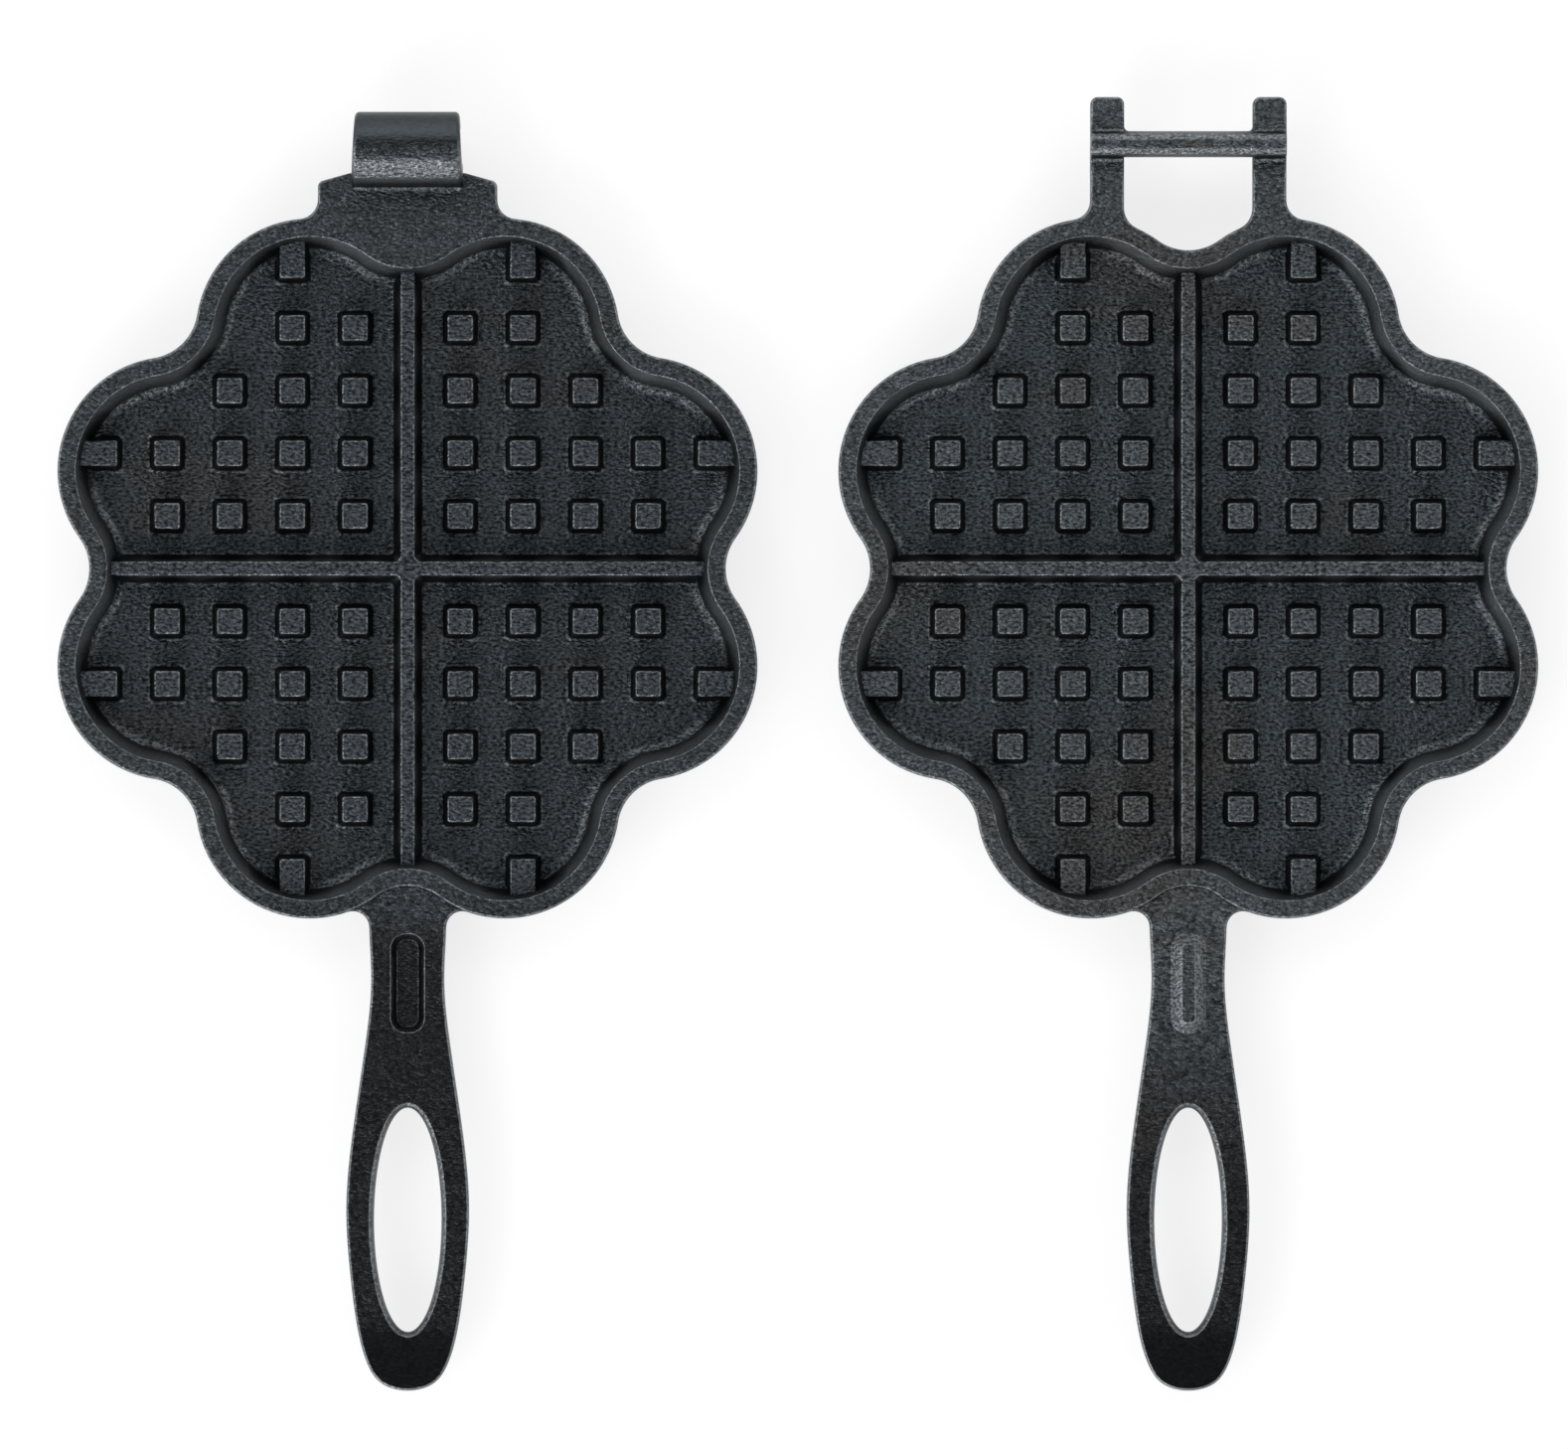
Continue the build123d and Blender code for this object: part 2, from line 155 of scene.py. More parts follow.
def rounded_line(corners: list[tuple[float, float, float]], steps: int = ARC_STEPS) -> np.ndarray:
    """Rounds the corners of an open line.

    Each corner becomes an arc tangent to both of its runs: its centre lies on the corner's bisector, at
    radius / sin(half the corner's angle), and its points are a slerp between the two directions of tangency.

    Args:
        corners: Each corner's two coordinates and its radius. The ends and corners of radius 0 stay sharp.
        steps: How many chords each arc has.

    Returns:
        The line's points.
    """
    places, radii = np.array(corners)[:, :2], [c[2] for c in corners]
    runs = [places[:1]]
    for before, here, after, radius in zip(places, places[1:], places[2:], radii[1:]):
        if radius == 0:
            runs.append(here[None])
            continue
        back, on = ((p - here) / np.linalg.norm(p - here) for p in (before, after))
        half = math.acos(np.clip(back @ on, -1, 1)) / 2
        middle = (back + on) / np.linalg.norm(back + on)
        centre = here + middle * radius / math.sin(half)
        first, last = (here + way * radius / math.tan(half) - centre for way in (back, on))
        sweep = math.pi - 2 * half
        share = np.linspace(0, 1, steps + 1)[:, None]
        blend = np.sin((1 - share) * sweep) * first + np.sin(share * sweep) * last
        runs.append(centre + blend / math.sin(sweep))
    runs.append(places[-1:])
    return np.vstack(runs)


def slab(low: float, high: float, edge_radius: float) -> np.ndarray:
    """Returns the profile of a flat piece from one height to another, both its faces' edges rounded."""
    inset = PAST_EDGE * edge_radius
    return rounded_line([(inset, low, 0), (0, low, edge_radius), (0, high, edge_radius), (inset, high, 0)])


def standing(
    face: float, top: float, run: float, foot_radius: float, edge_radius: float, steps: int = ARC_STEPS
) -> np.ndarray:
    """Returns the profile of what stands on a face: a hollow foot, a leaning side and a rounded top edge.

    Args:
        face: The height of the face.
        top: The height of the top.
        run: How far the side leans in from foot to top.
        foot_radius: The radius of its hollow foot.
        edge_radius: The radius of its top edge.
        steps: How many chords each arc has.

    Returns:
        Rows of inset from its foot and height, from below the face to inside the top.
    """
    corners = [
        (-SKIRT, face - SKIRT * SLOPE - EMBED, 0),
        (-SKIRT, face - SKIRT * SLOPE, 0),
        (0, face, foot_radius),
        (run, top, edge_radius),
        (run + edge_radius + TOP_RUN, top, 0),
    ]
    return rounded_line(corners, steps)


def hollow_foot(axis: np.ndarray, radius: float, level: float, hollow: float, way: int) -> np.ndarray:
    """Works out the hollow corner where a round bar's surface runs out onto a level face beside it.

    The corner's circle rests on the face and touches the bar's circle from outside, so its centre is its own
    radius above the face and both radii from the bar's axis.

    Args:
        axis: The bar's centre, along Y and in height.
        radius: The bar's radius.
        level: The face's height.
        hollow: The corner's radius.
        way: 1 if the face lies past the bar, -1 if before.

    Returns:
        The corner's points, from the face to the bar.
    """
    up = level + hollow - axis[1]
    centre = axis + np.array([way * math.sqrt((radius + hollow) ** 2 - up**2), up])
    return arc(centre, hollow, -90, -90 + half_turn(direction(axis - centre) + 90), steps=7)


def across(outline: "Outline", half_width: float, edge_radius: float) -> "Shell":
    """Carries a side view, drawn along Y and in height, across X, with its two sides' edges rounded.

    Args:
        outline: The side view, counter-clockwise.
        half_width: How far it reaches to each side.
        edge_radius: The radius of its edges at both sides.

    Returns:
        The closed surface.
    """
    return outline.solid(slab(-half_width, half_width, edge_radius)).mapped(lambda p: p[:, [2, 0, 1]])


def add_object(name: str, data: bpy.types.ID) -> bpy.types.Object:
    """Puts a mesh, lamp or camera in the scene.

    Args:
        name: The object's name.
        data: What the object shows.

    Returns:
        The object.
    """
    shown = bpy.data.objects.new(name, data)
    bpy.context.scene.collection.objects.link(shown)
    return shown


@dataclass(frozen=True)
class Shell:
    """A closed surface, with its faces' sides outwards."""

    points: np.ndarray
    faces: list[list[int]]

    @classmethod
    def stacked(cls, loops: np.ndarray) -> "Shell":
        """Joins loops into a tube and closes it with a flat face at each end.

        Args:
            loops: Points of shape (..., loops, points in a loop, 3). Each loop runs counter-clockwise, seen
                from the end that the stack grows to. Leading axes are separate tubes.

        Returns:
            The closed surface of all tubes.
        """
        loops = loops.reshape((-1,) + loops.shape[-3:])
        index = np.arange(loops[..., 0].size).reshape(loops.shape[:-1])
        following = np.roll(index, -1, axis=2)
        quads = np.stack([index[:, :-1], following[:, :-1], following[:, 1:], index[:, 1:]], axis=-1)
        caps = index[:, 0, ::-1].tolist() + index[:, -1].tolist()
        return cls(loops.reshape(-1, 3), quads.reshape(-1, 4).tolist() + caps)

    def mapped(self, change: Callable[[np.ndarray], np.ndarray], flips: bool = False) -> "Shell":
        """Returns the surface with its points changed, and its faces turned over if the change mirrors it."""
        return Shell(change(self.points), [f[::-1] for f in self.faces] if flips else self.faces)

    def mirrored(self, side: Side) -> "Shell":
        """Moves a surface made for the right side to a given side.

        Args:
            side: Where it goes.

        Returns:
            The surface, mirrored if it goes to the left.
        """
        if side is Side.RIGHT:
            return self
        return self.mapped(lambda p: p * (-1, 1, 1), flips=True)

    def to_object(self, name: str) -> bpy.types.Object:
        """Makes a scene object of the surface.

        Args:
            name: The name of the object and its mesh.

        Returns:
            The object, still in millimetres.
        """
        mesh = bpy.data.meshes.new(name)
        mesh.from_pydata(self.points, [], self.faces)
        return add_object(name, mesh)


@dataclass(frozen=True)
class Outline:
    """A closed line that runs counter-clockwise, with the outward direction at each point.

    A direction is the sum of the two neighbouring runs' normals over 1 + their product, so that moving every
    point along its own direction moves each run parallel to itself.
    """

    points: np.ndarray
    outward: np.ndarray

    @classmethod
    def through(cls, *stretches: np.ndarray) -> "Outline":
        """Makes an outline of stretches of points, leaving out each point that repeats the one before.

        Args:
            stretches: Arrays of points, one after the other.

        Returns:
            The outline.
        """
        points = np.vstack(stretches)
        points = points[np.linalg.norm(points - np.roll(points, 1, axis=0), axis=1) > SAME_PLACE]
        run = np.roll(points, -1, axis=0) - points
        normal = np.stack([run[:, 1], -run[:, 0]], axis=-1) / np.linalg.norm(run, axis=1, keepdims=True)
        before = np.roll(normal, 1, axis=0)
        product = np.sum(normal * before, axis=1, keepdims=True)
        return cls(points, (normal + before) / np.maximum(1 + product, MITRE_LIMIT))

    def carry(self, profile: np.ndarray) -> np.ndarray:
        """Carries a profile round the outline: a point is outline - inset * outward, at the profile's height.

        Args:
            profile: Rows of inset and height.

        Returns:
            One loop of points for each row.
        """
        return at_height(self.points - profile[:, None, :1] * self.outward, profile[:, 1])

    def solid(self, profile: np.ndarray) -> Shell:
        """Makes the closed surface that a profile sweeps round the outline."""
        return Shell.stacked(self.carry(profile))


def rounded_rectangle(width: np.ndarray, length: np.ndarray, radius: np.ndarray, steps: int) -> np.ndarray:
    """Works out rectangles with round corners.

    Each corner is a quarter circle: its centre, one radius in from both sides, plus radius * (cos t, sin t).

    Args:
        width: Sizes along X, of any shape.
        length: Sizes along Y, of the same shape.
        radius: Corner radii, of the same shape.
        steps: How many chords a corner has.

    Returns:
        Loops about the origin, of the arguments' shape and then (points, 2).
    """
    quarter = np.linspace(0, math.pi / 2, steps + 1)
    angles = (quarter + np.arange(4)[:, None] * math.pi / 2).ravel()
    signs = np.repeat([(1, 1), (-1, 1), (-1, -1), (1, -1)], steps + 1, axis=0)
    width, length, radius = (np.asarray(v, float)[..., None] for v in (width, length, radius))
    x = signs[:, 0] * (width / 2 - radius) + radius * np.cos(angles)
    y = signs[:, 1] * (length / 2 - radius) + radius * np.sin(angles)
    return np.stack([x, y], axis=-1)


def smooth_line(knots: np.ndarray, start: np.ndarray, end: np.ndarray, steps: int) -> np.ndarray:
    """Draws the cubic spline through points, with given directions at its ends.

    The spline's parameter is the chord length, and its slopes solve the usual three-term equations for a
    curve whose second derivative has no jumps. Each stretch is the cubic Hermite blend of its ends.

    Args:
        knots: The points.
        start: The unit direction at the first.
        end: The unit direction at the last.
        steps: How many chords each stretch has.

    Returns:
        The curve's points.
    """
    step = np.linalg.norm(np.diff(knots, axis=0), axis=1)
    count = len(knots)
    system, right = np.eye(count), np.zeros((count, 2))
    right[0], right[-1] = start, end
    rate = np.diff(knots, axis=0) / step[:, None]
    inner = np.arange(1, count - 1)
    system[inner, inner - 1] = step[1:]
    system[inner, inner] = 2 * (step[1:] + step[:-1])
    system[inner, inner + 1] = step[:-1]
    right[inner] = 3 * (step[1:, None] * rate[:-1] + step[:-1, None] * rate[1:])
    slope = np.linalg.solve(system, right)
    t = np.linspace(0, 1, steps + 1)[None, :-1, None]
    length = step[:, None, None]
    points = (
        (2 * t**3 - 3 * t**2 + 1) * knots[:-1, None]
        + (t**3 - 2 * t**2 + t) * length * slope[:-1, None]
        + (3 * t**2 - 2 * t**3) * knots[1:, None]
        + (t**3 - t**2) * length * slope[1:, None]
    )
    return np.vstack([points.reshape(-1, 2), knots[-1:]])


@dataclass(frozen=True)
class Plate:
    """A round baking plate with eight lobes, four heart-shaped pockets, dividers and studs."""

    lobes: int = 8
    lobe_radius: float = 34.8
    lobe_reach: float = 112.6
    notch_reach: float = 97.0
    thickness: float = 13.0
    wall_height: float = 9.0
    floor_depth: float = 7.0
    rim_width: float = 5.4
    wall_run: float = 4.7
    rim_edge_radius: float = 1.0
    pocket_edge_radius: float = 0.7
    pocket_lead: float = 3.0
    pocket_foot_radius: float = 4.5
    ring_height: float = 2.0
    ring_outer_radius: float = 75.0
    ring_inner_radius: float = 67.0
    ring_edge_radius: float = 0.8
    ring_run: float = 0.5
    divider_depth: float = 2.0
    divider_width: float = 3.9
    divider_run: float = 2.6
    divider_corner_radius: float = 2.0
    divider_edge_radius: float = 0.8
    foot_flare_radius: float = 2.2
    stud_pitch: float = 19.1
    first_stud: float = 16.05
    stud_depth: float = 2.2
    stud_top: float = 7.6
    stud_run: float = 1.55
    stud_corner_radius: float = 1.2
    stud_corner_loss: float = 0.35
    stud_edge_radius: float = 0.8
    stud_rows: tuple[tuple[int, ...], ...] = ((0, 1, 2, 3), (0, 1, 2, 3, 4), (0, 1, 2), (0, 1), (1,))
    wall_stud: int = 4
    wall_stud_reach: float = 4.0

    @property
    def lobe_distance(self) -> float:
        """How far a lobe's centre is from the plate's."""
        return self.lobe_reach - self.lobe_radius

    @property
    def half_step(self) -> float:
        """Half the angle from one lobe to the next, in degrees."""
        return 180 / self.lobes

    @property
    def notch_radius(self) -> float:
        """The radius that makes a notch tangent to the lobes beside it, by the law of cosines."""
        side = self.lobe_distance * math.cos(math.radians(self.half_step))
        free = self.notch_reach - side - self.lobe_radius
        squares = self.lobe_radius**2 - self.notch_reach**2 - self.lobe_distance**2
        return (squares + 2 * side * self.notch_reach) / (2 * free)

    def outline(self, lobe_steps: int = 36, notch_steps: int = 18) -> Outline:
        """Draws the plate's outline: a convex arc for each lobe and a concave one for each notch.

        Args:
            lobe_steps: How many chords a lobe has.
            notch_steps: How many chords a notch has.

        Returns:
            The outline.
        """
        arcs = []
        for angle in self.half_step * np.arange(1, 2 * self.lobes, 2):
            lobe = self.lobe_distance * turned(angle)
            notch = (self.notch_reach + self.notch_radius) * turned(angle + self.half_step)
            reach = half_turn(direction(notch - lobe) - angle)
            arcs.append(arc(lobe, self.lobe_radius, angle - reach, angle + reach, lobe_steps))
            middle, spread = angle + self.half_step + 180, reach - self.half_step
            arcs.append(arc(notch, self.notch_radius, middle + spread, middle - spread, notch_steps)[1:-1])
        return Outline.through(*arcs)

    def blank(self) -> Shell:
        """Makes the plate before its pockets are cut.

        Circles about the centre make the underside's foot ring. They pass over into the outline, round which
        a profile makes the outer wall and the rim.

        Returns:
            The closed surface.
        """
        outline = self.outline()
        inner, outer, edge = self.ring_inner_radius, self.ring_outer_radius, self.ring_edge_radius
        low, foot = -self.thickness, -self.thickness - self.ring_height
        ring = rounded_line(
            [
                (inner - 2 * RUN_ON, low, 0),
                (inner, low, edge),
                (inner + self.ring_run, foot, edge),
                (outer - self.ring_run, foot, edge),
                (outer, low, edge),
                (outer + RUN_ON, low, 0),
            ]
        )
        spokes = outline.points / np.linalg.norm(outline.points, axis=1, keepdims=True)
        round_loops = at_height(ring[:, None, :1] * spokes, ring[:, 1])
        under = self.thickness - self.wall_height
        wall = rounded_line(
            [
                (under + RUN_ON, low, 0),
                (0, low, under),
                (0, 0, self.rim_edge_radius),
                (self.rim_width / 2, 0, 0),
            ],
            steps=8,
        )
        return Shell.stacked(np.concatenate([round_loops, outline.carry(wall)]))

    def pocket(self) -> Shell:
        """Makes what is cut out of the blank: the pocket's floor, leaning wall and rounded edge.

        Returns:
            The closed surface.
        """
        foot = self.rim_width + self.wall_run
        profile = rounded_line(
            [
                (foot + RUN_ON, -self.floor_depth, 0),
                (foot, -self.floor_depth, self.pocket_foot_radius),
                (self.rim_width, 0, self.pocket_edge_radius),
                (self.rim_width - self.pocket_lead, self.pocket_lead * SLOPE, 0),
            ]
        )
        return self.outline().solid(profile)

    def on_floor(self, run: float, depth: float, edge_radius: float) -> np.ndarray:
        """Returns the profile of what stands on the pockets' floor, up to a depth below the rim."""
        return standing(-self.floor_depth, -depth, run, self.foot_flare_radius, edge_radius, steps=5)

    def dividers(self, arm_steps: int = 13) -> Shell:
        """Makes the cross that parts the hearts: four straight arms with round corners between them.

        A loop is one arm's side, a corner and the next arm's side, turned to all four quarters.

        Args:
            arm_steps: How many stations an arm has.

        Returns:
            The closed surface.
        """
        profile = self.on_floor(self.divider_run, self.divider_depth, self.divider_edge_radius)
        half = (self.divider_width / 2 + self.divider_run - profile[:, 0])[:, None]
        shift = half + self.divider_corner_radius
        along = np.linspace(self.notch_reach - self.rim_width / 2, 0, arm_steps + 1)[:-1]
        outward = np.stack(np.broadcast_arrays(np.maximum(along, shift), half), axis=-1)
        bend = arc(np.zeros(2), self.divider_corner_radius, 270, 180, ARC_STEPS) + shift[..., None]
        quarter = np.concatenate([outward, bend, outward[:, ::-1, ::-1]], axis=1)
        plan = np.concatenate([quarter @ turn for turn in QUARTER_TURNS], axis=1)
        steps = np.linalg.norm(plan - np.roll(plan, 1, axis=1), axis=-1).max(axis=0)
        return Shell.stacked(at_height(plan[:, steps > SAME_PLACE], profile[:, 1]))

    def studs(self) -> Shell:
        """Makes all studs: a rounded square at each height of the profile, turned to all four quarters.

        Returns:
            The closed surface.
        """
        profile = self.on_floor(self.stud_run, self.stud_depth, self.stud_edge_radius)
        places = np.array([(c, r) for r, row in enumerate(self.stud_rows) for c in row])
        reach = np.where(places == self.wall_stud, self.wall_stud_reach, 0.0)
        centres = self.first_stud + places * self.stud_pitch + reach / 2
        foot = self.stud_top + 2 * self.stud_run
        sizes = foot + reach[:, None, :] - 2 * profile[None, :, :1]
        radii = self.stud_corner_radius - self.stud_corner_loss * profile[:, 0] / self.stud_run
        plan = rounded_rectangle(*np.moveaxis(sizes, -1, 0), np.broadcast_to(radii, sizes.shape[:2]), steps=3)
        plan = (plan + centres[:, None, None, :]) @ QUARTER_TURNS[:, None, None]
        return Shell.stacked(at_height(plan, profile[:, 1]))

    def flare(self, x: float, radius: float, side: Side, end: int) -> np.ndarray:
        """Works out the round corner between an upright edge at x and the lobe that it runs into.

        The corner's circle touches the line and the lobe's circle from outside, so its centre is the lobe's
        radius plus its own away from the lobe's centre.

        Args:
            x: The edge's distance from the centre line, on its right.
            radius: The corner's radius.
            side: On which side of the edge the corner lies.
            end: 1 at the hinge end, -1 at the handle's.

        Returns:
            The corner's points, from the lobe to the edge.
        """
        lobe = self.lobe_distance * turned(90 - self.half_step) * (1, end)
        sideways = x + side.value * radius - lobe[0]
        centre = lobe + np.array([sideways, end * math.sqrt((self.lobe_radius + radius) ** 2 - sideways**2)])
        toward = direction(lobe - centre)
        level = 180.0 if side is Side.RIGHT else 0.0
        return arc(centre, radius, toward, toward + half_turn(level - toward), steps=8)


@dataclass(frozen=True)
class Handle:
    """A flat handle that swells round a long finger hole."""

    plate: Plate
    start: float = 90.0
    end: float = 250.6
    top_depth: float = 1.0
    thickness: float = 8.0
    side: tuple[tuple[float, float], ...] = (
        (11.7, 108.0),
        (11.1, 125.0),
        (12.9, 145.0),
        (16.5, 170.0),
        (18.7, 195.0),
        (17.4, 216.0),
        (15.2, 232.0),
        (12.6, 241.6),
        (8.6, 247.9),
    )
    root_radius: float = 5.0
    root_rise: float = 3.0
    root_gap: float = 0.5
    edge_radius: float = 1.0
    hole_centre: float = 198.6
    hole_half_width: float = 10.3
    hole_half_length: float = 34.2
    hole_edge_radius: float = 3.2
    hole_lead: float = 1.5

    @property
    def faces(self) -> tuple[float, float]:
        """The heights of its underside and its face."""
        return -self.top_depth - self.thickness, -self.top_depth

    def outline(self) -> Outline:
        """Draws the outline: a smooth curve through the side's points, the root's corner, and their mirror.

        Returns:
            The outline.
        """
        knots = np.array([*self.side, (0.0, self.end)]) * (1, -1)
        right = smooth_line(knots, np.array([0.0, -1.0]), np.array([-1.0, 0.0]), steps=8)
        corner = self.plate.flare(self.side[0][0], self.root_radius, Side.RIGHT, -1)
        right = right[right[:, 1] < corner[-1, 1] - self.root_gap]
        right = np.vstack([(corner[0, 0], -self.start), corner[0] + (0, self.root_rise), corner, right])
        return Outline.through(right[::-1], right * (-1, 1))

    def bar(self) -> Shell:
        """Returns the handle's body, with both faces' edges rounded."""
        return self.outline().solid(slab(*self.faces, self.edge_radius))

    def hole(self) -> Shell:
        """Makes the finger hole's cutter: an ellipse that opens out round both faces' edges.

        Returns:
            The closed surface.
        """
        ellipse = arc(np.zeros(2), 1, 0, 360, steps=72)[:-1] * (self.hole_half_width, self.hole_half_length)
        low, high = self.faces
        reach = self.hole_edge_radius + self.hole_lead
        profile = rounded_line(
            [
                (-reach, low - reach * SLOPE, 0),
                (0, low, self.hole_edge_radius),
                (0, high, self.hole_edge_radius),
                (-reach, high + reach * SLOPE, 0),
            ]
        )
        return Outline.through(ellipse - (0, self.hole_centre)).solid(profile)


@dataclass(frozen=True)
class Key:
    """What lines the handles up: a rib on one handle's face and a slot for it in the other's."""

    handle: Handle
    centre: float = 126.4
    length: float = 30.2
    width: float = 10.4
    corner_radius: float = 4.5
    slot_depth: float = 2.6
    slot_run: float = 1.95
    rib_height: float = 2.8
    rib_run: float = 3.3
    edge_radius: float = 0.8
    foot_radius: float = 1.2

    def outline(self) -> Outline:
        """Returns the key's outline on the handle's face."""
        shape = rounded_rectangle(self.width, self.length, self.corner_radius, steps=8)
        return Outline.through(shape - (0, self.centre))

    def slot(self) -> Shell:
        """Makes the slot's cutter.

        Returns:
            The closed surface.
        """
        face = -self.handle.top_depth
        floor = face - self.slot_depth
        profile = rounded_line(
            [
                (self.slot_run + SKIRT, floor, 0),
                (self.slot_run, floor, self.edge_radius),
                (0, face, self.edge_radius),
                (-SKIRT, face + SKIRT * SLOPE, 0),
            ]
        )
        return self.outline().solid(profile)

    def rib(self) -> Shell:
        """Makes the rib, with a hollow foot where it leaves the face.

        Returns:
            The closed surface.
        """
        face = -self.handle.top_depth
        top = face + self.rib_height
        return self.outline().solid(standing(face, top, self.rib_run, self.foot_radius, self.edge_radius))


@dataclass(frozen=True)
class Hinge:
    """The sizes that the hook and the bar share."""

    bar_radius: float = 4.0
    bar_reach: float = 129.2
    bar_rise: float = 1.5
    closed_gap: float = 0.3
    play: float = 0.7


@dataclass(frozen=True)
class HookEnd:
    """The hook half's shoulder and the hook that it carries."""

    plate: Plate
    hinge: Hinge
    thickness: float = 9.0
    half_width: float = 27.3
    corner: float = 117.8
    end: float = 120.5
    end_half_width: float = 17.5
    root_radius: float = 6.0
    corner_radius: float = 2.0
    edge_radius: float = 1.0
    hook_root_half_width: float = 17.3
    hook_tip_half_width: float = 15.9
    hook_edge_radius: float = 1.5
    hook_foot_radius: float = 2.0
    back_centre: tuple[float, float] = (127.8, 1.2)
    back_radius: float = 11.3
    lip_angle: float = -30.0
    root_run: float = 9.0
    root_lift: float = 1.0
    leg_run: float = 5.0
    leg_lift: float = 0.3
    leg_edge_radius: float = 1.0

    def shoulder(self) -> Shell:
        """Makes the shoulder: a tapering slab that flares into the two lobes beside it.

        Returns:
            The closed surface.
        """
        flare = self.plate.flare(self.half_width, self.root_radius, Side.RIGHT, 1)
        top = rounded_line(
            [
                (self.half_width, flare[-1, 1], 0),
                (self.half_width, self.corner, self.corner_radius),
                (self.end_half_width, self.end, self.corner_radius),
                (0, self.end, 0),
            ]
        )
        start = self.plate.notch_reach - self.plate.rim_width / 2 - self.edge_radius
        right = np.vstack([(flare[0, 0] - self.root_radius, start), flare, top])
        outline = Outline.through(right, (right * (-1, 1))[::-1])
        return outline.solid(slab(-self.thickness, 0, self.edge_radius))

    def hook(self) -> Shell:
        """Makes the hook: its side view carried across, drafted in plan and rounded at both sides.

        The side view is a circle about the bar's axis inside a larger one that is off to the back, with a
        round lip between them that touches both, a leg down to the shoulder's underside and a hollow foot
        that runs out onto its top. The underside rises from the leg to the root, to stay in the shoulder.

        Returns:
            The closed surface.
        """
        hinge, low = self.hinge, -self.thickness
        axis = np.array([hinge.bar_reach, hinge.closed_gap - hinge.bar_rise])
        back, radius, inner = np.array(self.back_centre), self.back_radius, hinge.bar_radius + hinge.play
        foot = hollow_foot(back, radius, 0, self.hook_foot_radius, -1)
        toward_lip = turned(self.lip_angle)
        offset = axis - back
        along = offset @ toward_lip
        squares = radius**2 - offset @ offset - inner**2
        lip_radius = (squares - 2 * inner * along) / 2 / (along + inner + radius)
        lip = axis + (inner + lip_radius) * toward_lip
        start, end = (direction(point - back) for point in (lip, foot[-1]))
        leg, root = axis[0] - inner, self.end - self.root_run
        outline = Outline.through(
            arc(lip, lip_radius, self.lip_angle - 180, start, steps=10),
            arc(back, radius, start, end % 360, steps=36),
            foot[::-1],
            [(root, (root - foot[0, 0]) * SLOPE), (root, low + self.root_lift)],
            rounded_line(
                [
                    (leg - self.leg_run, low + self.leg_lift, 0),
                    (leg, low, self.leg_edge_radius),
                    (leg, axis[1] - hinge.bar_radius / 2, 0),
                ]
            ),
            arc(axis, inner, 180, self.lip_angle, steps=24)[:-1],
        )
        half, tip = self.hook_root_half_width, back[0] + radius

        def draft(points: np.ndarray) -> np.ndarray:
            """Draws the sides in towards the tip: x shrinks in step with how far along Y a point lies.

            Args:
                points: The hook's points.

            Returns:
                The drafted points.
            """
            share = np.clip((points[:, 1] - root) / (tip - root), 0, 1)
            shrink = 1 - share * (1 - self.hook_tip_half_width / half)
            return points * np.stack([shrink, *np.ones((2, len(share)))], axis=-1)

        return across(outline, half, self.hook_edge_radius).mapped(draft)


